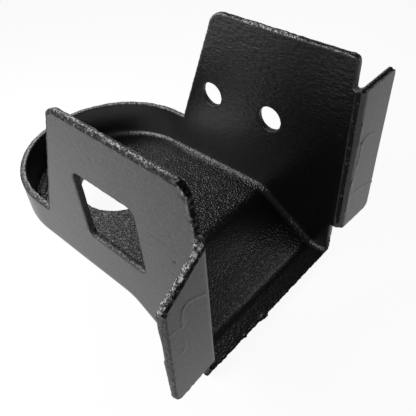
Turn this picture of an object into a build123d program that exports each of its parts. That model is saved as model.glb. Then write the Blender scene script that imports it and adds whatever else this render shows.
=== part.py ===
from build123d import *
import os
from math import atan2, radians, tan

# Weld-on U bracket, pressed and folded from one piece of steel plate.
# Two side walls stand on a floor that ends in a round pan at the back. Towards the open front the
# floor drops down a ramp to a low lip, and the front edge of each wall is folded out as a flange.
# One wall is drilled for two bolts and the other has a square window.
# X runs forward to the open front, Y across to the bolt wall, Z up. The origin is the centre of
# the pan's hole, on the upper face of the floor. Sizes are in millimetres, angles in degrees.

# --- plate and channel ---
plate = 3.2
channel_width = 99.5
front_reach = 110.5
floor_bend = 4.0

# --- pan at the back ---
pan_rim_height = 22.5
pan_hole_diameter = 47.0

# --- floor's drop to the front lip ---
ramp_run = 32.5
lip_drop = 21.6
lip_length = 11.0
lip_setback = 1.0
lip_undercut_height = 2.6
lip_undercut_reach = 2.2
ramp_brow_bend = 11.0
ramp_foot_bend = 6.0

# --- bolt wall, its back edge leaning forward above the pan's rim ---
bolt_wall_height = 91.0
bolt_wall_heel = 7.5
bolt_wall_lean = 21.3
bolt_wall_crown_round = 9.0
bolt_wall_nose_round = 3.0

# --- window wall ---
window_wall_height = 90.7
window_wall_heel = 9.9
window_wall_lean = 23.2
window_wall_crown_round = 8.0
window_wall_nose_round = 6.5

# --- bolt holes ---
bolt_hole_diameter = 13.0
bolt_hole_spacing = 37.6
bolt_hole_height = 45.4
back_bolt_hole = 31.0

# --- square window ---
window_size = 35.6
window_back = 45.0
window_sill = 27.7
window_round = 3.5

# --- folds and flanges ---
flange_bend = 1.5
facet_rise = 2.0
facet_round = 1.5
flange_foot_round = 3.5
flange_tip_round = 1.5
heel_round = 1.5

# --- bolt wall's flange; fall and rise are the tilts of its top and foot, splay that of its tip,
# --- the shear is how far the cut edge runs back from the front face to the back face, and the facet
# --- is how far back along the wall the flat on the fold begins ---
bolt_flange_reach = 24.0
bolt_flange_foot = -2.2
bolt_flange_foot_rise = -5.0
bolt_flange_top = 77.0
bolt_flange_fall = 1.0
bolt_flange_splay = 0.0
bolt_flange_shear_at_foot = 0.3
bolt_flange_shear_at_top = 0.3
bolt_facet_at_foot = 3.4
bolt_facet_at_top = 3.4

# --- window wall's flange, in the same terms ---
window_flange_reach = 21.8
window_flange_foot = -1.5
window_flange_foot_rise = -5.5
window_flange_top = 70.3
window_flange_fall = 35.7
window_flange_splay = 0.87
window_flange_shear_at_foot = 0.3
window_flange_shear_at_top = 1.4
window_facet_at_foot = 4.1
window_facet_at_top = 2.3

# --- where the window wall's front edge swells forward to run out on top of its fold ---
run_out_height = 13.0
run_out_swell = 1.7
run_out_depth = 4.5

# --- worked out from the above ---
spare = 20.0
hair = 0.01
outer_face = channel_width / 2
inner_face = outer_face - plate
lip_front = front_reach - lip_setback
ramp_foot = lip_front - lip_length
ramp_brow = ramp_foot - ramp_run
lip_under = -lip_drop - plate
ramp_angle = atan2(lip_drop, ramp_run)
flange_back = front_reach + flange_bend
flange_front = flange_back + plate
lowest = lip_under - spare
highest = max(bolt_wall_height, window_wall_height) + spare
rearmost = -outer_face - spare
widest = outer_face + max(bolt_flange_reach, window_flange_reach) + spare
run_out_top = min(window_flange_top + run_out_height, window_wall_height - window_wall_nose_round)


def vertex_near(shape, *place):
    return shape.vertices().sort_by_distance(place)[0]


def side_view_above(depth, front):
    """Everything above the floor's upper face, or above a face that much deeper in the plate."""
    shift = depth * tan(ramp_angle / 2)
    brow = (ramp_brow - shift, -depth)
    foot = (ramp_foot - shift, -lip_drop - depth)
    corners = [(rearmost, highest), (rearmost, -depth), brow, foot, (front, foot[1]), (front, highest)]
    view = make_face(Plane.XZ * Polyline(*corners, close=True))
    foot_bend = max(ramp_foot_bend, floor_bend + hair)
    view = fillet(vertex_near(view, brow[0], 0, brow[1]), ramp_brow_bend + plate - depth)
    return fillet(vertex_near(view, foot[0], 0, foot[1]), foot_bend + depth)


def filled_channel(half_width, depth, bend, front):
    """The channel as a full block, its lower corner rounded past the pan and down the ramp."""
    plan = Circle(half_width) + Pos(front / 2, 0) * Rectangle(front, 2 * half_width)
    column = Pos(0, 0, lowest) * extrude(plan, amount=highest - lowest)
    block = column & extrude(side_view_above(depth, front), amount=widest, both=True)
    lower_corner = [
        edge
        for edge in block.edges()
        if edge.bounding_box().max.Z < hair - depth and edge.bounding_box().size.X > hair
    ]
    return fillet(lower_corner, bend)


def trimmed_side(side, height, heel, lean, crown_round, nose_round, flange_foot):
    """Room for one wall and its half of the pan and floor, up to their cut edges."""
    crown = heel + (height - pan_rim_height) * tan(radians(lean))
    corners = [
        (rearmost, lowest),
        (rearmost, pan_rim_height),
        (heel, pan_rim_height),
        (crown, height),
        (front_reach, height),
        (front_reach, flange_foot),
        (lip_front, flange_foot),
        (lip_front, lowest),
    ]
    view = make_face(Plane.XZ * Polyline(*corners, close=True))
    view = fillet(vertex_near(view, heel, 0, pan_rim_height), heel_round)
    view = fillet(vertex_near(view, crown, 0, height), crown_round)
    view = fillet(vertex_near(view, front_reach, 0, height), nose_round)
    return extrude(view, amount=widest, dir=(0, side, 0))


def folded_plate():
    shell = filled_channel(outer_face, plate, floor_bend + plate, front_reach)
    shell -= filled_channel(inner_face, 0, floor_bend, front_reach + spare)
    sides = trimmed_side(
        1,
        bolt_wall_height,
        bolt_wall_heel,
        bolt_wall_lean,
        bolt_wall_crown_round,
        bolt_wall_nose_round,
        bolt_flange_foot,
    )
    sides += trimmed_side(
        -1,
        window_wall_height,
        window_wall_heel,
        window_wall_lean,
        window_wall_crown_round,
        window_wall_nose_round,
        window_flange_foot,
    )
    return shell & sides


def lip_undercut():
    """The wedge dressed off the underside of the front lip."""
    top = lip_under + lip_undercut_height
    lean = lip_undercut_reach / lip_undercut_height
    wedge = Polyline(
        (lip_front, top),
        (lip_front + spare, top),
        (lip_front + spare, lowest),
        (lip_front - lean * (top - lowest), lowest),
        close=True,
    )
    return extrude(make_face(Plane.XZ * wedge), amount=widest, both=True)


def fold_section(facet_run):
    """A wall's front edge turned outwards, seen from above, with the flat pressed on the fold."""
    root = front_reach - plate
    corners = [
        (root, inner_face),
        (flange_front - facet_run, inner_face),
        (flange_front, inner_face + facet_rise),
        (flange_front, widest),
        (flange_back, widest),
        (flange_back, outer_face),
        (root, outer_face),
    ]
    section = make_face(Polyline(*corners, close=True))
    section = fillet(vertex_near(section, flange_back, outer_face, 0), flange_bend)
    return fillet(vertex_near(section, flange_front, inner_face + facet_rise, 0), facet_round)


def fold_column(foot, top, facet_at_foot, facet_at_top):
    """The fold from end to end, its flat narrowing or widening from the flange's foot to its top."""
    growth = (facet_at_top - facet_at_foot) / (top - foot)
    low_section = fold_section(facet_at_foot + growth * (lowest - foot))
    high_section = fold_section(facet_at_foot + growth * (highest - foot))
    return loft([Pos(0, 0, lowest) * low_section, Pos(0, 0, highest) * high_section])


def flange_outline(foot_tip, top_tip, foot, foot_rise, top, fall):
    """One flange seen from the front, reaching out to the two tips."""
    tip_foot = foot + (foot_tip - inner_face) * tan(radians(foot_rise))
    tip_top = top - (top_tip - inner_face) * tan(radians(fall))
    corners = [(inner_face, foot), (inner_face, top), (top_tip, tip_top), (foot_tip, tip_foot)]
    view = make_face(Plane.YZ * Polyline(*corners, close=True))
    view = fillet(vertex_near(view, 0, top_tip, tip_top), flange_tip_round)
    return fillet(vertex_near(view, 0, foot_tip, tip_foot), flange_foot_round)


def flange(side, fold, reach, foot, foot_rise, top, fall, splay, shear_at_foot, shear_at_top):
    """One flange, its cut edge running back from the front face to the back face by the shear."""
    foot_tip = outer_face + reach
    top_tip = foot_tip - (top - foot) * tan(radians(splay))
    ends = (foot, foot_rise, top, fall)
    back_view = Pos(flange_back) * flange_outline(foot_tip, top_tip, *ends)
    front_tips = (foot_tip - shear_at_foot, top_tip - shear_at_top)
    front_view = Pos(flange_front) * flange_outline(*front_tips, *ends)
    blank = loft([back_view, front_view])
    blank += extrude(back_view, amount=flange_back, dir=(-1, 0, 0))
    half = blank & fold
    return half if side > 0 else mirror(half, about=Plane.XZ)


def flanges():
    bolt_flange = flange(
        1,
        bolt_fold,
        bolt_flange_reach,
        bolt_flange_foot,
        bolt_flange_foot_rise,
        bolt_flange_top,
        bolt_flange_fall,
        bolt_flange_splay,
        bolt_flange_shear_at_foot,
        bolt_flange_shear_at_top,
    )
    window_flange = flange(
        -1,
        window_fold,
        window_flange_reach,
        window_flange_foot,
        window_flange_foot_rise,
        window_flange_top,
        window_flange_fall,
        window_flange_splay,
        window_flange_shear_at_foot,
        window_flange_shear_at_top,
    )
    return bolt_flange + window_flange


def run_out():
    """The window wall's front edge swelling forward onto the top of its fold."""
    swollen = front_reach + run_out_swell
    base = window_flange_top - run_out_depth
    side_view = Polyline(
        (front_reach - plate, run_out_top),
        (front_reach, run_out_top),
        (swollen, window_flange_top),
        (swollen, base),
        (front_reach - plate, base),
        close=True,
    )
    wedge = extrude(make_face(Plane.XZ * side_view), amount=outer_face, dir=(0, -1, 0))
    return wedge & mirror(window_fold, about=Plane.XZ)


def bolt_holes():
    drill = Rot(90, 0, 0) * Cylinder(bolt_hole_diameter / 2, 3 * plate)
    drills = [
        Pos(place, outer_face - plate / 2, bolt_hole_height) * drill
        for place in (back_bolt_hole, back_bolt_hole + bolt_hole_spacing)
    ]
    return drills[0] + drills[1]


def window():
    centre = Pos(window_back + window_size / 2, -outer_face + plate / 2, window_sill + window_size / 2)
    opening = Plane.XZ * RectangleRounded(window_size, window_size, window_round)
    return centre * extrude(opening, amount=1.5 * plate, both=True)


def pan_hole():
    return Cylinder(pan_hole_diameter / 2, 3 * plate)


os.makedirs("parts", exist_ok=True)
bolt_fold = fold_column(bolt_flange_foot, bolt_flange_top, bolt_facet_at_foot, bolt_facet_at_top)
window_fold = fold_column(
    window_flange_foot, window_flange_top, window_facet_at_foot, window_facet_at_top
)
u_bracket = folded_plate() - lip_undercut() + flanges() + run_out() - bolt_holes() - window() - pan_hole()
u_bracket.label = "u_bracket"
export_step(u_bracket, "parts/u_bracket.step")
print("u_bracket", u_bracket.is_valid, len(u_bracket.solids()), "solid", u_bracket.bounding_box())
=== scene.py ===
import math

import bpy
from mathutils import Matrix, Vector, noise
from mathutils.bvhtree import BVHTree
from mathutils.kdtree import KDTree


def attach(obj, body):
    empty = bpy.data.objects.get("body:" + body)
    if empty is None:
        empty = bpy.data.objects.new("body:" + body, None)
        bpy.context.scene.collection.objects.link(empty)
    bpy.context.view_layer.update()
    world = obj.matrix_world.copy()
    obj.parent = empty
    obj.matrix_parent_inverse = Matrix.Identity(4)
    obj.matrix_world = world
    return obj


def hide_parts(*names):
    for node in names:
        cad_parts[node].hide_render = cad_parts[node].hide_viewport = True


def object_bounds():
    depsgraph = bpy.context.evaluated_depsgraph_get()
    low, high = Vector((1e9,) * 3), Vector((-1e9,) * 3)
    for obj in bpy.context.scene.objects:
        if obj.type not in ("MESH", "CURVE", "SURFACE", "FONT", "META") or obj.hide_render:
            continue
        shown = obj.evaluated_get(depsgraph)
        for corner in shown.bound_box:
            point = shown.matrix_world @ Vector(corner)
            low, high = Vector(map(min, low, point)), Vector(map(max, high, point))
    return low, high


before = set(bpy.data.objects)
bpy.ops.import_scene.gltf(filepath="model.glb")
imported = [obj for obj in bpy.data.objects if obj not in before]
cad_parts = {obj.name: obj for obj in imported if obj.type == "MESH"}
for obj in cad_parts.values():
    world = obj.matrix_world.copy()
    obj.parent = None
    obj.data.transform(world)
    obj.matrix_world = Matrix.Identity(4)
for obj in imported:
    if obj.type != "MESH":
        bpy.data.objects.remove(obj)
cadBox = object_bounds()
print("frame loaded")

mm = 0.001


viewSettings = {
    "azimuth": 45.055,  # degrees round from straight in front of the window wall
    "elevation": 43.753,
    "roll": -4.326,
    "target": (25.31, 43.5, -38.24),  # mm
    "distance": 326.6,  # mm
    "focalPixels": 509.8,
    "imagePixels": 416,
    "sensor": 36.0,
    "clipStart": 10.0,  # mm
}


def placeCamera(settings):
    azimuth = math.radians(settings["azimuth"])
    elevation = math.radians(settings["elevation"])
    roll = math.radians(settings["roll"])
    level = math.cos(elevation)
    back = Vector((math.sin(azimuth) * level, -math.cos(azimuth) * level, math.sin(elevation)))
    right = Vector((math.cos(azimuth), math.sin(azimuth), 0))
    up = back.cross(right)
    rolledRight = right * math.cos(roll) + up * math.sin(roll)
    rolledUp = up * math.cos(roll) - right * math.sin(roll)
    cameraData = bpy.data.cameras.new("camera")
    cameraData.sensor_width = settings["sensor"]
    cameraData.lens = settings["sensor"] * settings["focalPixels"] / settings["imagePixels"]
    cameraData.clip_start = settings["clipStart"] * mm
    camera = bpy.data.objects.new("camera", cameraData)
    bpy.context.scene.collection.objects.link(camera)
    place = Vector(settings["target"]) * mm + back * settings["distance"] * mm
    turn = Matrix((rolledRight, rolledUp, back)).transposed()
    camera.matrix_world = Matrix.Translation(place) @ turn.to_4x4()
    bpy.context.scene.camera = camera


placeCamera(viewSettings)
print("camera placed")


# a wire is one socket's output, and an expression on wires adds the Math nodes for it
class Wire:
    def __init__(self, graph, socket):
        self.graph = graph
        self.socket = socket

    def maths(self, operation, *values):
        return self.graph.add("ShaderNodeMath", {"operation": operation}, dict(enumerate(values)))

    def __add__(self, other):
        return self.maths("ADD", self, other)

    def __radd__(self, other):
        return self.maths("ADD", other, self)

    def __sub__(self, other):
        return self.maths("SUBTRACT", self, other)

    def __rsub__(self, other):
        return self.maths("SUBTRACT", other, self)

    def __mul__(self, other):
        return self.maths("MULTIPLY", self, other)

    def __rmul__(self, other):
        return self.maths("MULTIPLY", other, self)

    def __pow__(self, other):
        return self.maths("POWER", self, other)

    def __rpow__(self, other):
        return self.maths("POWER", other, self)


# add makes any node, from its type, its settings and the values or wires of its sockets
class Graph:
    def __init__(self, owner):
        owner.use_nodes = True
        self.owner = owner
        self.nodes = owner.node_tree.nodes
        self.links = owner.node_tree.links
        self.nodes.clear()

    def add(self, kind, settings=None, inputs=None, output=0):
        node = self.nodes.new(kind)
        for key, value in (settings or {}).items():
            setattr(node, key, value)
        for key, value in (inputs or {}).items():
            socket = node.inputs[key]
            if isinstance(value, Wire):
                self.links.new(value.socket, socket)
            else:
                socket.default_value = value
        return Wire(self, node.outputs[output]) if node.outputs else None


# semi-gloss black over bare pressed steel: lengths are in mm, and height is how far the skin swells
paintSettings = {
    "colour": (0.0025, 0.0025, 0.0026, 1),
    "mottle": {"size": 1.1, "detail": 2, "from": 0.45, "to": 0.62},  # faint paler patches on the outside
    "mottleColour": (0.02, 0.02, 0.021, 1),
    "paintedGlints": {"size": 0.75, "detail": 2, "from": 0.46, "to": 0.58},  # painted glints: pale flecks that stand in for light caught by the torn steel
    # pale grey of the painted glints, painted highlights on the torn edges
    "paintedGlintColour": (0.48, 0.48, 0.49, 1),
    "shadedHollows": {"size": 1.6, "detail": 2, "from": 0.34, "to": 0.5},  # painted shade in the torn steel's crevices
    # flat near-black for the painted shade in crevices, grooves and on the lip, mixed in as a matte shader
    "dullShadeColour": (0.006, 0.006, 0.006, 1),
    "roughness": 0.32,
    "coat": 0.1,
    "coatRoughness": 0.28,
    "cloudRoughness": 0.55,
    "peel": {"size": 2.8, "detail": 3, "height": 0.1},  # slow orange peel all over
    # fine grain on the floor and the lip, which swells more towards the front
    "grain": {
        "size": 1.0, "detail": 0, "height": 0.28,
        "more": 0.3, "back": -10.0, "front": 60.0,
        "below": 3.0, "fade": 3.0,
    },
    # coarser on the window wall's side of the pan
    "leather": {"size": 1.6, "detail": 0, "height": 0.65, "front": 60.0, "wall": 12.0, "fade": 20.0},
    "brow": {"top": -0.1, "start": -1.6, "end": -8.0, "foot": -13.0, "calm": 0.85},  # smooth top of the ramp
    "lip": {"top": -20.5, "fade": 2.0, "calm": 0.7, "dullShade": 0.2},  # smoother than the floor, and darkened towards flat near-black as painted shade
    # fine wrinkles high on the bolt wall's inner face, weaker towards the front
    "wrinkle": {
        "size": 1.4, "detail": 2, "stretch": 2.0, "height": 0.6,
        "above": 10.0, "fade": 60.0,
        "middle": 45.0, "front": 90.0, "calm": 0.5,
    },
    # torn steel on the cut edges, with painted shade in its hollows
    "grit": {"size": 0.5, "detail": 2, "height": 0.35, "roughness": 0.15, "dullShade": 0.85},
    # how far out the inner faces reach, as half widths, and where they end at the front
    "inside": {
        "outer": 47.5, "inner": 46.8,
        "floorOuter": 46.5, "floorInner": 45.5,
        "front": 118.0, "back": 108.0,
        "wall": 44.0,
    },
}


def blackPaint(settings):
    g = Graph(bpy.data.materials.new("blackPaint"))
    place = g.add("ShaderNodeTexCoord", output="Object")
    x, y, z = (g.add("ShaderNodeSeparateXYZ", inputs={"Vector": place}, output=axis) for axis in "XYZ")
    cutEdge = g.add("ShaderNodeAttribute", {"attribute_name": "cutEdge"}, output="Fac")
    paintedGlint = g.add("ShaderNodeAttribute", {"attribute_name": "paintedGlint"}, output="Fac")
    dullShade = g.add("ShaderNodeAttribute", {"attribute_name": "dullShade"}, output="Fac")

    def clouds(spots):
        stretch = (1 / spots.get("stretch", 1), 1, 1)
        spread = g.add("ShaderNodeMapping", inputs={"Vector": place, "Scale": stretch})
        inputs = {"Vector": spread, "Scale": 1 / (spots["size"] * mm), "Detail": spots["detail"]}
        inputs["Roughness"] = settings["cloudRoughness"]
        return g.add("ShaderNodeTexNoise", inputs=inputs)

    # from 0 at start to 1 at end, either of which may be the higher
    def rising(value, start, end):
        ends = {"Value": value, "From Min": start * mm, "From Max": end * mm}
        return g.add("ShaderNodeMapRange", {"interpolation_type": "SMOOTHSTEP"}, ends)

    def patches(name):
        spots = settings[name]
        ends = {"Value": clouds(spots), "From Min": spots["from"], "From Max": spots["to"]}
        return g.add("ShaderNodeMapRange", {"interpolation_type": "SMOOTHSTEP"}, ends)

    def mixed(share, first, second):
        return g.add("ShaderNodeMix", {"data_type": "RGBA"}, {"Factor": share, 6: first, 7: second}, output=2)

    names = ("peel", "grain", "leather", "brow", "lip", "wrinkle", "grit")
    peel, grain, leather, brow, lip, wrinkle, grit = (settings[name] for name in names)
    edge = settings["inside"]
    inFront = rising(x, edge["front"], edge["back"])
    # the distance from the channel's middle, which goes round the pan's centre at the back
    behind = g.add("ShaderNodeMath", {"operation": "MINIMUM"}, {0: x, 1: 0.0})
    middle = (behind * behind + y * y) ** 0.5
    within = rising(middle, edge["outer"], edge["inner"])
    onFloor = rising(z, grain["below"] + grain["fade"], grain["below"]) * inFront
    onFloor = onFloor * rising(middle, edge["floorOuter"], edge["floorInner"])
    onBrow = rising(z, brow["top"], brow["start"]) * rising(z, brow["foot"], brow["end"])
    onFloor = onFloor * (1 - onBrow * brow["calm"])
    onLip = rising(z, lip["top"] + lip["fade"], lip["top"])
    onFloor = onFloor * (1 - onLip * lip["calm"])
    inPan = rising(x, leather["front"] + leather["fade"], leather["front"])
    inPan = inPan * rising(y, leather["wall"] + leather["fade"], leather["wall"]) * onFloor
    onWall = rising(z, wrinkle["above"], wrinkle["above"] + wrinkle["fade"])
    onWall = onWall * rising(y, edge["wall"], edge["inner"])
    onWall = onWall * (1 - rising(x, wrinkle["middle"], wrinkle["front"]) * wrinkle["calm"])
    grainHeight = rising(x, grain["back"], grain["front"]) * grain["more"] + grain["height"]
    height = (
        clouds(peel) * peel["height"]
        + clouds(grain) * onFloor * grainHeight
        + clouds(leather) * inPan * leather["height"]
        + clouds(wrinkle) * onWall * inFront * wrinkle["height"]
        + clouds(grit) * cutEdge * grit["height"]
    )
    colour = mixed(patches("mottle") * (1 - within), settings["colour"], settings["mottleColour"])
    # painted highlights: pale glints laid over the torn edges where light would catch
    colour = mixed(patches("paintedGlints") * paintedGlint, colour, settings["paintedGlintColour"])
    bump = g.add("ShaderNodeBump", inputs={"Height": height, "Strength": 1.0, "Distance": mm})
    skin = g.add(
        "ShaderNodeBsdfPrincipled",
        inputs={
            "Base Color": colour,
            "Roughness": cutEdge * grit["roughness"] + settings["roughness"],
            "Coat Weight": settings["coat"],
            "Coat Roughness": settings["coatRoughness"],
            "Normal": bump,
        },
    )
    # painted shade: a flat near-black matte mixed in over cut-edge hollows, dark grooves and the lip
    dullShadeBsdf = g.add("ShaderNodeBsdfDiffuse", inputs={"Color": settings["dullShadeColour"], "Normal": bump})
    clamped = {"operation": "MULTIPLY", "use_clamp": True}
    shadedHollows = g.add("ShaderNodeMath", clamped, {0: dullShade, 1: patches("shadedHollows")})
    share = (1 - paintedGlint * patches("paintedGlints")) * shadedHollows * grit["dullShade"] + onLip * lip["dullShade"]
    both = g.add("ShaderNodeMixShader", inputs={0: share, 1: skin, 2: dullShadeBsdf})
    g.add("ShaderNodeOutputMaterial", inputs={"Surface": both})
    return g.owner


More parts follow.
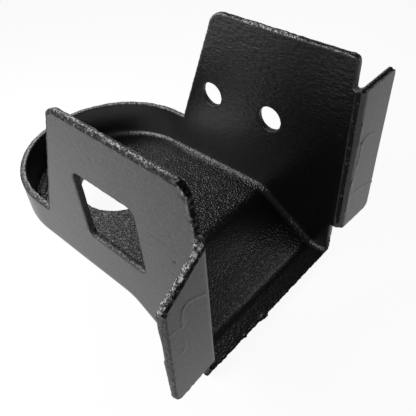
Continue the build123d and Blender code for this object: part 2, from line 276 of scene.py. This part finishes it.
# the bracket is the plate with soft corners, ragged sheared edges and the press's small marks
bracketSettings = {
    "cutDepth": 5.5,  # mm, as all lengths here; a face with more steel than this behind it is a cut edge
    "skinGap": 0.01,  # how far inside its face that depth is measured from
    "fold": {"front": 112.0, "side": 54.0, "windowTop": 69.5, "boltTop": 76.5},  # where the folds' fronts lie
    "mergeReach": 0.001,
    "voxel": 0.5,
    "triangles": 190000,
    "edgeReach": 0.35,  # how far from a cut the edge stays at its most ragged
    "edgeFade": 1.0,  # over what length its raggedness then fades
    "glintAndShadeFade": 0.6,  # and over what length its grit, painted glints and painted shade fade
    "profileFade": 2.6,  # how far from a cut its profile pulls the skin in
    "smoothing": 0.5,
    "calmPasses": 24,  # smoothing passes on the faces
    "cornerPasses": 3,  # and on the cut edges
    "wobble": {"size": 26.0, "height": 0.08},  # the whole plate is slightly uneven
    # the ramp swells upward between the walls
    "bow": {"start": 67.0, "end": 101.0, "height": 0.7, "below": 2.0, "wall": 46.5, "fade": 9.0},
    "chips": {"size": 1.9, "height": 0.32, "evenness": 0.9, "step": 2.0, "octaves": 2},
    "crumbs": {"size": 0.9, "height": 0.14},
    "wander": {"size": 5.0, "reach": 0.4},  # how the bands along a cut edge drift across it
    "innerFace": 46.55,
    "flangeFront": 115.2,
    # where one zone of cut edge gives way to the next
    "zoneLimits": {
        "lipTop": -12.0,
        "foldBack": 106.0,
        "foldSide": 46.0,
        "windowNoseFoot": 71.0,
        "windowSlopeFoot": 52.0,
        "windowSlopeTip": 71.5,
        "boltNoseFoot": 77.5,
        "boltFlangeTopFoot": 74.5,
        "rimTop": 24.5,
        "rimFront": 12.0,
        "floorSide": 44.0,
        "windowTopFoot": 66.0,
        "windowBackEdge": 44.0,
        "sillTop": 29.5,
        "boltTopFoot": 55.0,
        "boltBackEdge": 20.0,
        "boltTopMiddle": (52.0, 82.0),
    },
    # rough is how ragged a zone's edge is and grit how grainy; the lists run across the plate, from a
    # wall's inner face or a flange's front: how deep the edge falls, how many painted glints it has and
    # how much painted shade, as flat near-black, it takes
    "zones": {
        "windowTop": {
            "rough": 0.5, "grit": 1.2,
            "profile": ((0, 0.1), (0.3, 0), (0.6, 0.3), (0.9, 0), (2.2, 0), (3.2, 1.0)),
            "paintedGlints": (
                (0, 0.5), (0.3, 0.5), (0.45, 0), (0.7, 0), (0.9, 1), (2.0, 1), (2.3, 0.1), (3.2, 0.15),
            ),
            "dullShade": (
                (0, 0), (0.3, 0), (0.45, 0.8), (0.7, 0.8), (0.9, 0.2), (2.0, 0.2), (2.3, 1), (3.2, 0.9),
            ),
        },
        "windowNose": {
            "rough": 1.6, "grit": 1.5,
            "profile": ((0, 0.1), (2.4, 0.5), (2.8, 0.1), (3.2, 0.2)),
            "paintedGlints": ((0, 0.25), (0.5, 0.02), (2.7, 0.02), (2.9, 0.5), (3.2, 0.5)),
            "dullShade": ((0, 0.4), (0.5, 1), (2.7, 1), (2.9, 0.2), (3.2, 0)),
        },
        "windowSlope": {
            "rough": 1.5, "grit": 1.3,
            "profile": ((0, 0.9), (0.8, 0), (3.2, 0)),
            "paintedGlints": ((0, 0), (0.7, 0.05), (1.0, 0.8), (3.2, 1.0)),
            "dullShade": ((0, 1), (0.8, 1), (1.1, 0.3), (3.2, 0.1)),
        },
        "windowFlangeEdge": {
            "rough": 0.7, "grit": 0.7,
            "profile": ((0, 0.2), (3.2, 0.2)),
            "paintedGlints": ((0, 0.1), (2.0, 0.1), (2.6, 0.35), (3.2, 0.35)),
            "dullShade": ((0, 0.3), (3.2, 0.2)),
        },
        "boltTop": {
            "rough": 0.5, "grit": 0.9,
            "profile": ((0, 0.1), (0.3, 0), (0.7, 0.3), (1.2, 0), (2.2, 0), (3.2, 0.7)),
            "paintedGlints": ((0, 0.45), (0.4, 0.45), (0.7, 0.05), (3.2, 0.1)),
            "dullShade": ((0, 0), (0.4, 0.1), (0.7, 0.8), (1.3, 0.8), (1.8, 0.3), (3.2, 0.7)),
        },
        "boltTopMiddle": {
            "rough": 0.8, "grit": 1.1,
            "profile": ((0, 0.1), (0.3, 0), (0.7, 0.3), (1.2, 0), (2.2, 0), (3.2, 0.7)),
            "paintedGlints": ((0, 1), (1.2, 1), (1.5, 0.1), (3.2, 0.1)),
            "dullShade": ((0, 0), (1.2, 0.1), (1.5, 0.8), (3.2, 0.8)),
        },
        "boltNose": {
            "rough": 0.15, "grit": 0.3,
            "profile": ((0, 0.1), (0.3, 0.3), (0.6, 0), (3.2, 0.1)),
            "paintedGlints": ((0, 0.2), (0.4, 0), (3.2, 0.05)),
            "dullShade": ((0, 0), (0.3, 0.8), (0.6, 0), (3.2, 0)),
        },
        "boltFlangeTop": {
            "rough": 0.2, "grit": 0.4,
            "profile": ((0, 0.1), (0.8, 0.6), (1.4, 0.6), (2.0, 0), (3.2, 0.1)),
            "paintedGlints": ((0, 0.5), (0.5, 0.5), (0.9, 0), (1.8, 0), (2.2, 0.5), (3.2, 0.5)),
            "dullShade": ((0, 0), (0.6, 0.8), (1.8, 0.8), (2.1, 0), (3.2, 0)),
        },
        "boltFlangeEdge": {
            "rough": 0.1, "grit": 0.2,
            "profile": ((0, 0.1), (3.2, 0.1)),
            "paintedGlints": ((0, 0), (3.2, 0)),
            "dullShade": ((0, 0), (3.2, 0)),
        },
        "rim": {
            "rough": 0.6, "grit": 1.0,
            "profile": ((0, 0.1), (1.5, 0.05), (3.2, 0.9)),
            "paintedGlints": ((0, 0.6), (0.8, 0.9), (1.6, 0.4), (3.2, 0)),
            "dullShade": ((0, 0), (1.6, 0.2), (3.2, 0.6)),
        },
        "lip": {
            "rough": 1.0, "grit": 0.8,
            "profile": ((0, 0.2), (3.2, 0.2)),
            "paintedGlints": ((0, 0.03), (3.2, 0.03)),
            "dullShade": ((0, 0.7), (3.2, 0.7)),
        },
        "sill": {
            "rough": 0.5, "grit": 1.0,
            "profile": ((0, 0.1), (3.2, 0.2)),
            "paintedGlints": ((0, 0.02), (1.4, 0.05), (1.9, 0.45), (2.5, 0.4), (3.0, 0.05), (3.2, 0)),
            "dullShade": ((0, 0.7), (1.5, 0.7), (1.9, 0.2), (3.2, 0.3)),
        },
        "hole": {
            "rough": 0.3, "grit": 0.6,
            "profile": ((0, 0.1), (3.2, 0.1)),
            "paintedGlints": ((0, 0.03), (3.2, 0.03)),
            "dullShade": ((0, 0.2), (3.2, 0.2)),
        },
    },
    "markStride": 0.25,  # the step along a mark's line at which points near it are looked for
    # lines and dots pressed into the skin or, with a height above 0, standing up from it; dullShade is how
    # much painted shade, as flat near-black, darkens their bottom
    "marks": {
        "windowFlangeLines": (
            {
                "line": (
                    (115.2, -50.3, 45.7), (115.2, -55.2, 48.5), (115.2, -58.8, 49.9), (115.2, -60.9, 49.1),
                ),
                "width": 0.7, "height": 0.2,
            },
            {
                "line": (
                    (115.2, -60.9, 49.1), (115.2, -62.0, 46.7), (115.2, -62.7, 44.0), (115.2, -62.5, 39.5),
                ),
                "width": 0.7, "height": 0.25,
            },
            {
                "line": ((115.2, -62.8, 40.3), (115.2, -65.7, 40.9), (115.2, -67.8, 41.2)),
                "width": 0.6, "height": 0.12,
            },
            {
                "line": ((115.2, -62.8, 31.8), (115.2, -63.0, 26.9), (115.2, -65.3, 25.1)),
                "width": 0.6, "height": 0.12,
            },
        ),
        "boltFlangeLines": (
            {
                "line": (
                    (115.2, 62.9, 48.6), (115.2, 57.9, 50.3), (115.2, 53.9, 50.3), (115.2, 52.0, 49.0),
                ),
                "width": 0.7, "height": 0.32,
            },
            {
                "line": (
                    (115.2, 52.0, 49.0), (115.2, 52.4, 45.7), (115.2, 52.5, 42.4), (115.2, 51.7, 37.6),
                ),
                "width": 0.7, "height": 0.3,
            },
            {
                "line": (
                    (115.2, 51.7, 37.6), (115.2, 51.0, 32.8), (115.2, 50.6, 27.7), (115.2, 50.6, 21.9),
                ),
                "width": 0.7, "height": 0.18,
            },
            {
                "line": (
                    (115.2, 50.6, 21.9), (115.2, 52.4, 18.0), (115.2, 58.7, 17.8), (115.2, 65.7, 15.8),
                ),
                "width": 0.6, "height": 0.14,
            },
            {"line": ((115.2, 65.7, 15.8), (115.2, 73.6, 12.3)), "width": 0.6, "height": 0.16},
        ),
        "boltFlangeBurr": (
            {"line": ((115.2, 73.7, 12.6), (113.5, 73.9, 11.6)), "width": 1.0, "height": 0.6},
        ),
        "foldSwells": (
            {
                "line": ((114.9, 49.4, 60.0), (114.9, 49.0, 55.0), (114.9, 49.4, 49.0)),
                "width": 1.6, "height": 0.45,
            },
            {
                "line": ((114.9, 49.4, 28.0), (114.9, 48.8, 22.0), (114.9, 48.8, 9.0)),
                "width": 1.6, "height": 0.45,
            },
        ),
        # the groove's bottom is painted near-black: a painted shadow line along the fold
        "foldGroove": (
            {"line": ((112.6, 46.6, 2.0), (112.7, 46.6, 18.0)), "width": 1.4, "height": -0.3, "dullShade": 6.0},
            {"line": ((112.5, 46.6, 18.5), (112.7, 46.6, 34.5)), "width": 1.3, "height": -0.3, "dullShade": 6.0},
            {"line": ((112.7, 46.6, 34.5), (112.6, 46.6, 52.0)), "width": 1.4, "height": -0.3, "dullShade": 6.0},
            {"line": ((112.5, 46.6, 52.5), (112.6, 46.6, 75.0)), "width": 1.3, "height": -0.3, "dullShade": 6.0},
        ),
        "windowWallPits": (
            {"line": ((61.7, -49.75, 77.8),), "width": 0.9, "height": -0.25},
            {"line": ((100.1, -49.75, 50.5),), "width": 1.1, "height": -0.4},
            {"line": ((93.7, -49.75, 44.0),), "width": 0.7, "height": -0.2},
            {"line": ((98.7, -49.75, 42.7),), "width": 0.7, "height": -0.2},
        ),
        "windowFlangePit": (
            {"line": ((115.2, -51.8, 57.2),), "width": 0.8, "height": -0.2},
        ),
        "boltWallCrumb": (
            {"line": ((107.7, 46.55, 52.9),), "width": 0.8, "height": 0.25},
        ),
        "lipBumps": (
            {"line": ((109.5, -7.5, -22.5), (109.5, -6.0, -22.8)), "width": 2.4, "height": 1.3},
            {"line": ((109.5, -10.0, -22.6),), "width": 1.6, "height": 0.7},
            {"line": ((109.5, -21.9, -22.0),), "width": 1.4, "height": 0.6},
        ),
        "floorScratch": (
            {"line": ((2.8, 37.2, 0), (32.4, 38.8, 0)), "width": 0.6, "height": 0.08},
        ),
        "windowWallScratches": (
            {
                "line": ((88.9, -49.75, 57.9), (96.5, -49.75, 57.9), (105.9, -49.75, 67.9)),
                "width": 0.6, "height": -0.04,
            },
            {"line": ((99.9, -49.75, 64.3), (103.2, -49.75, 53.9)), "width": 0.6, "height": -0.04},
        ),
        "noseNick": (
            {"line": ((109.6, -49.75, 87.0), (108.8, -49.75, 86.0)), "width": 1.0, "height": -0.5},
        ),
    },
}


def select(piece):
    bpy.ops.object.select_all(action="DESELECT")
    piece.select_set(True)
    bpy.context.view_layer.objects.active = piece


def finishWith(piece, kind, **settings):
    modifier = piece.modifiers.new(kind.lower(), kind)
    for key, value in settings.items():
        setattr(modifier, key, value)
    select(piece)
    bpy.ops.object.modifier_apply(modifier=modifier.name)


def copyOfNode(name, copyName, mergeReach):
    piece = bpy.data.objects.new(copyName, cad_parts[name].data.copy())
    bpy.context.scene.collection.objects.link(piece)
    piece.data.materials.clear()
    select(piece)
    bpy.ops.object.mode_set(mode="EDIT")
    bpy.ops.mesh.select_all(action="SELECT")
    bpy.ops.mesh.remove_doubles(threshold=mergeReach)
    bpy.ops.object.mode_set(mode="OBJECT")
    return piece


# a cut edge has far more than the plate's thickness behind it, and so has a fold's front, which isn't cut
def cutFaces(piece, settings):
    whole = BVHTree.FromObject(piece, bpy.context.evaluated_depsgraph_get())
    fold = settings["fold"]
    corners, faces = [], []
    for face in piece.data.polygons:
        x, y, z = face.center / mm
        if x > fold["front"] and abs(y) < fold["side"] and z < fold["windowTop" if y < 0 else "boltTop"]:
            continue
        inward = -face.normal
        start = face.center + inward * settings["skinGap"] * mm
        if whole.ray_cast(start, inward, settings["cutDepth"] * mm)[0] is None:
            faces.append(range(len(corners), len(corners) + len(face.vertices)))
            corners += [piece.data.vertices[v].co for v in face.vertices]
    return BVHTree.FromPolygons(corners, faces)


# 1 up to full, then down to 0 over fade
def falling(distance, full, fade):
    return min(max(1 - (distance - full) / fade, 0), 1)


# points are (place, amount), and the amount at value lies on the straight lines between them
def between(points, value):
    start = points[0]
    for end in points[1:]:
        if value <= end[0]:
            share = max(value - start[0], 0) / (end[0] - start[0])
            return start[1] + (end[1] - start[1]) * share
        start = end
    return start[1]


def zoneOf(place, limits):
    x, y, z = place
    if z < limits["lipTop"]:
        return "lip"
    if x > limits["foldBack"] and y > limits["foldSide"]:
        if z > limits["boltNoseFoot"]:
            return "boltNose"
        return "boltFlangeTop" if z > limits["boltFlangeTopFoot"] else "boltFlangeEdge"
    if x > limits["foldBack"] and y < -limits["foldSide"]:
        if z > limits["windowNoseFoot"]:
            return "windowNose"
        onSlope = z > limits["windowSlopeFoot"] and y > -limits["windowSlopeTip"]
        return "windowSlope" if onSlope else "windowFlangeEdge"
    if z < limits["rimTop"] and x < limits["rimFront"]:
        return "rim"
    if y >= limits["floorSide"] and (z > limits["boltTopFoot"] or x < limits["boltBackEdge"]):
        back, front = limits["boltTopMiddle"]
        return "boltTopMiddle" if back < x < front else "boltTop"
    if y <= -limits["floorSide"] and (z > limits["windowTopFoot"] or x < limits["windowBackEdge"]):
        return "windowTop"
    return "sill" if y <= -limits["floorSide"] and z < limits["sillTop"] else "hole"


# the cut edge's zone at a place, and how far across the plate's thickness the place lies, from a wall's
# inner face or a flange's front
def edgeAt(place, settings):
    zone = zoneOf(place, settings["zoneLimits"])
    x, y, z = place
    wander = noise.noise(place / settings["wander"]["size"]) * settings["wander"]["reach"]
    if zone in ("windowSlope", "boltFlangeTop", "boltFlangeEdge", "windowFlangeEdge"):
        depth = settings["flangeFront"] - x + wander
    else:
        depth = (math.hypot(x, y) if x < 0 else abs(y)) - settings["innerFace"] + wander
    return settings["zones"][zone], depth


def calmWeights(piece, cuts, settings):
    calm = piece.vertex_groups.new(name="calm")
    edge = piece.vertex_groups.new(name="edge")
    reach, fade = settings["edgeReach"] * mm, settings["edgeFade"] * mm
    for vertex in piece.data.vertices:
        distance = cuts.find_nearest(vertex.co, reach + 2 * fade)[3]
        if distance is None:
            calm.add([vertex.index], 1, "REPLACE")
        else:
            calm.add([vertex.index], 1 - falling(distance, reach + fade, fade), "REPLACE")
            edge.add([vertex.index], falling(distance, reach, fade), "REPLACE")


# all moves are worked out first, because a moved point sends Blender over every normal again
def move(piece, moves):
    for index, step in moves:
        piece.data.vertices[index].co += step


def ragEdges(piece, cuts, settings):
    chips, crumbs = settings["chips"], settings["crumbs"]
    moves = []
    for vertex in piece.data.vertices:
        _, normal, _, distance = cuts.find_nearest(vertex.co, settings["profileFade"] * mm)
        if distance is None:
            continue
        place = vertex.co / mm
        zone, depth = edgeAt(place, settings)
        step = -normal * between(zone["profile"], depth) * falling(distance / mm, 0, settings["profileFade"])
        rough = zone["rough"] * falling(distance / mm, settings["edgeReach"], settings["edgeFade"])
        if rough > 0:
            swell = noise.fractal(place / chips["size"], chips["evenness"], chips["step"], chips["octaves"])
            swell = swell * chips["height"] + noise.noise(place / crumbs["size"]) * crumbs["height"]
            step += vertex.normal * swell * rough
        moves.append((vertex.index, step * mm))
    move(piece, moves)


def wobblePlate(piece, wobble, bow):
    moves = []
    for vertex in piece.data.vertices:
        place = vertex.co / mm
        x, y, z = place
        step = vertex.normal * noise.noise(place / wobble["size"]) * wobble["height"]
        along = (x - bow["start"]) / (bow["end"] - bow["start"])
        if 0 < along < 1 and z < bow["below"]:
            fromWall = min(max((bow["wall"] - abs(y)) / bow["fade"], 0), 1)
            step.z += math.sin(math.pi * along) * bow["height"] * fromWall
        moves.append((vertex.index, step * mm))
    move(piece, moves)


def treeOf(piece):
    tree = KDTree(len(piece.data.vertices))
    for vertex in piece.data.vertices:
        tree.insert(vertex.co, vertex.index)
    tree.balance()
    return tree


# each point near a mark's line, with a share that falls from 1 on the line to 0 at its width
def nearMark(tree, mark, stride):
    line = [Vector(point) * mm for point in mark["line"]]
    width = mark["width"] * mm
    nearest = {}
    for start, end in zip(line, line[1:] or line):
        count = max(int((end - start).length / stride), 1)
        for step in range(count + 1):
            for _, index, distance in tree.find_range(start.lerp(end, step / count), width):
                nearest[index] = min(distance, nearest.get(index, width))
    return [(index, (1 - (distance / mm / mark["width"]) ** 2) ** 2) for index, distance in nearest.items()]


# every mark with the points near it and their shares
def allMarks(piece, settings):
    tree = treeOf(piece)
    for group in settings["marks"].values():
        for mark in group:
            yield mark, nearMark(tree, mark, settings["markStride"] * mm)


def pressMarks(piece, settings):
    normals = [vertex.normal.copy() for vertex in piece.data.vertices]
    moves = []
    for mark, points in allMarks(piece, settings):
        moves += [(index, normals[index] * share * mark["height"] * mm) for index, share in points]
    move(piece, moves)


# the paint reads these three: how grainy each point is, how much painted glint and how much painted shade it
# takes
def keepEdgeShare(piece, cuts, settings):
    cutEdge = piece.data.attributes.new("cutEdge", "FLOAT", "POINT")
    paintedGlint = piece.data.attributes.new("paintedGlint", "FLOAT", "POINT")
    dullShade = piece.data.attributes.new("dullShade", "FLOAT", "POINT")
    for vertex in piece.data.vertices:
        distance = cuts.find_nearest(vertex.co, settings["profileFade"] * mm)[3]
        if distance is not None:
            zone, depth = edgeAt(vertex.co / mm, settings)
            fallen = distance / mm - between(zone["profile"], depth)
            near = falling(fallen, settings["edgeReach"], settings["glintAndShadeFade"])
            cutEdge.data[vertex.index].value = near * zone["grit"]
            paintedGlint.data[vertex.index].value = near * between(zone["paintedGlints"], depth)
            dullShade.data[vertex.index].value = near * between(zone["dullShade"], depth)
    for mark, points in allMarks(piece, settings):
        for index, share in points:
            dullShade.data[index].value = max(dullShade.data[index].value, share * mark.get("dullShade", 0))


def makeBracket(settings):
    piece = copyOfNode("u_bracket", "bracket", settings["mergeReach"] * mm)
    cuts = cutFaces(piece, settings)
    finishWith(piece, "REMESH", mode="VOXEL", voxel_size=settings["voxel"] * mm, use_smooth_shade=True)
    calmWeights(piece, cuts, settings)
    for group, passes in (("calm", settings["calmPasses"]), ("edge", settings["cornerPasses"])):
        finishWith(piece, "SMOOTH", factor=settings["smoothing"], iterations=passes, vertex_group=group)
    print("plate smoothed,", len(piece.data.vertices), "points")
    wobblePlate(piece, settings["wobble"], settings["bow"])
    ragEdges(piece, cuts, settings)
    pressMarks(piece, settings)
    print("edges and marks made")
    ratio = settings["triangles"] / (2 * len(piece.data.polygons))  # each face is still a square
    finishWith(piece, "DECIMATE", ratio=ratio, use_collapse_triangulate=True)
    keepEdgeShare(piece, cuts, settings)
    return piece


bracket = makeBracket(bracketSettings)
bracket.data.materials.append(blackPaint(paintSettings))
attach(bracket, "root")
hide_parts("u_bracket")
print("bracket made,", len(bracket.data.polygons), "faces")


stageSettings = {
    "floorSize": 6.0,  # metres
    "floorColour": (0.8, 0.8, 0.8, 1),
    "glow": 1.03,  # brightness of the part of the floor that glows
    "seenGlow": 0.9,  # how much of the floor glows to the camera; the rest takes the shadow
    "mirroredGlow": 0.65,  # how much of it glows in the paint
    "seenWorld": 1.0,  # the world's brightness to the camera
    "roomLight": 0.1,  # and as light on the bracket
}


def palePaper(settings):
    g = Graph(bpy.data.materials.new("palePaper"))
    plain = g.add("ShaderNodeBsdfDiffuse", inputs={"Color": settings["floorColour"]})
    glow = g.add("ShaderNodeEmission", inputs={"Color": (1, 1, 1, 1), "Strength": settings["glow"]})
    rays = ("Is Camera Ray", "Is Glossy Ray", "Is Transmission Ray")
    camera, glossy, through = (g.add("ShaderNodeLightPath", output=ray) for ray in rays)
    share = camera * settings["seenGlow"] + (glossy + through) * settings["mirroredGlow"]
    share = g.add("ShaderNodeMath", {"operation": "MINIMUM"}, {0: share, 1: settings["seenGlow"]})
    mixed = g.add("ShaderNodeMixShader", inputs={0: share, 1: plain, 2: glow})
    g.add("ShaderNodeOutputMaterial", inputs={"Surface": mixed})
    return g.owner


def paleRoom(settings):
    g = Graph(bpy.data.worlds.new("paleRoom"))
    room = g.add("ShaderNodeBackground", inputs={"Color": (1, 1, 1, 1), "Strength": settings["roomLight"]})
    wall = g.add("ShaderNodeBackground", inputs={"Color": (1, 1, 1, 1), "Strength": settings["seenWorld"]})
    camera = g.add("ShaderNodeLightPath", output="Is Camera Ray")
    mixed = g.add("ShaderNodeMixShader", inputs={0: camera, 1: room, 2: wall})
    g.add("ShaderNodeOutputWorld", inputs={"Surface": mixed})
    return g.owner


bpy.ops.object.select_all(action="DESELECT")
bpy.ops.mesh.primitive_plane_add(size=stageSettings["floorSize"], location=(0, 0, cadBox[0][2]))
floor = bpy.context.object
floor.name = "floor"
floor.data.materials.append(palePaper(stageSettings))

bpy.context.scene.world = paleRoom(stageSettings)

# place, aim and size in mm; along is the direction of the first side, and radiance is how bright
# the box's face looks
lampSettings = {
    "backSoftbox": {
        "place": (-135, 50, 185), "aim": (35, -35, 30), "along": (0.91, 0.25, 0.32),
        "size": (140, 60), "radiance": 7.8,
    },
    "sideSoftbox": {
        "place": (-82, -218, 198), "aim": (30, 45, 0), "along": (0.92, -0.39, 0),
        "size": (280, 135), "radiance": 9.5,
    },
    "rearSoftbox": {
        "place": (-73, 281, 226), "aim": (60, 50, 90), "along": (1, 0, 0),
        "size": (180, 60), "radiance": 3.0,
    },
    "frontFill": {
        "place": (253, 124, 130), "aim": (90, 0, -15), "along": (-0.6, 0.8, 0),
        "size": (110, 70), "radiance": 2.4,
    },
}


def softbox(name, settings):
    width, height = (side * mm for side in settings["size"])
    lampData = bpy.data.lights.new(name, "AREA")
    lampData.shape = "RECTANGLE"
    lampData.size = width
    lampData.size_y = height
    lampData.energy = settings["radiance"] * math.pi * width * height
    lamp = bpy.data.objects.new(name, lampData)
    bpy.context.scene.collection.objects.link(lamp)
    lamp.visible_camera = False
    back = (Vector(settings["place"]) - Vector(settings["aim"])).normalized()
    up = back.cross(Vector(settings["along"])).normalized()
    turn = Matrix((up.cross(back), up, back)).transposed()
    lamp.matrix_world = Matrix.Translation(Vector(settings["place"]) * mm) @ turn.to_4x4()


for lampName, lamp in lampSettings.items():
    softbox(lampName, lamp)
bpy.context.scene.view_settings.view_transform = "Standard"
print("stage and light done")
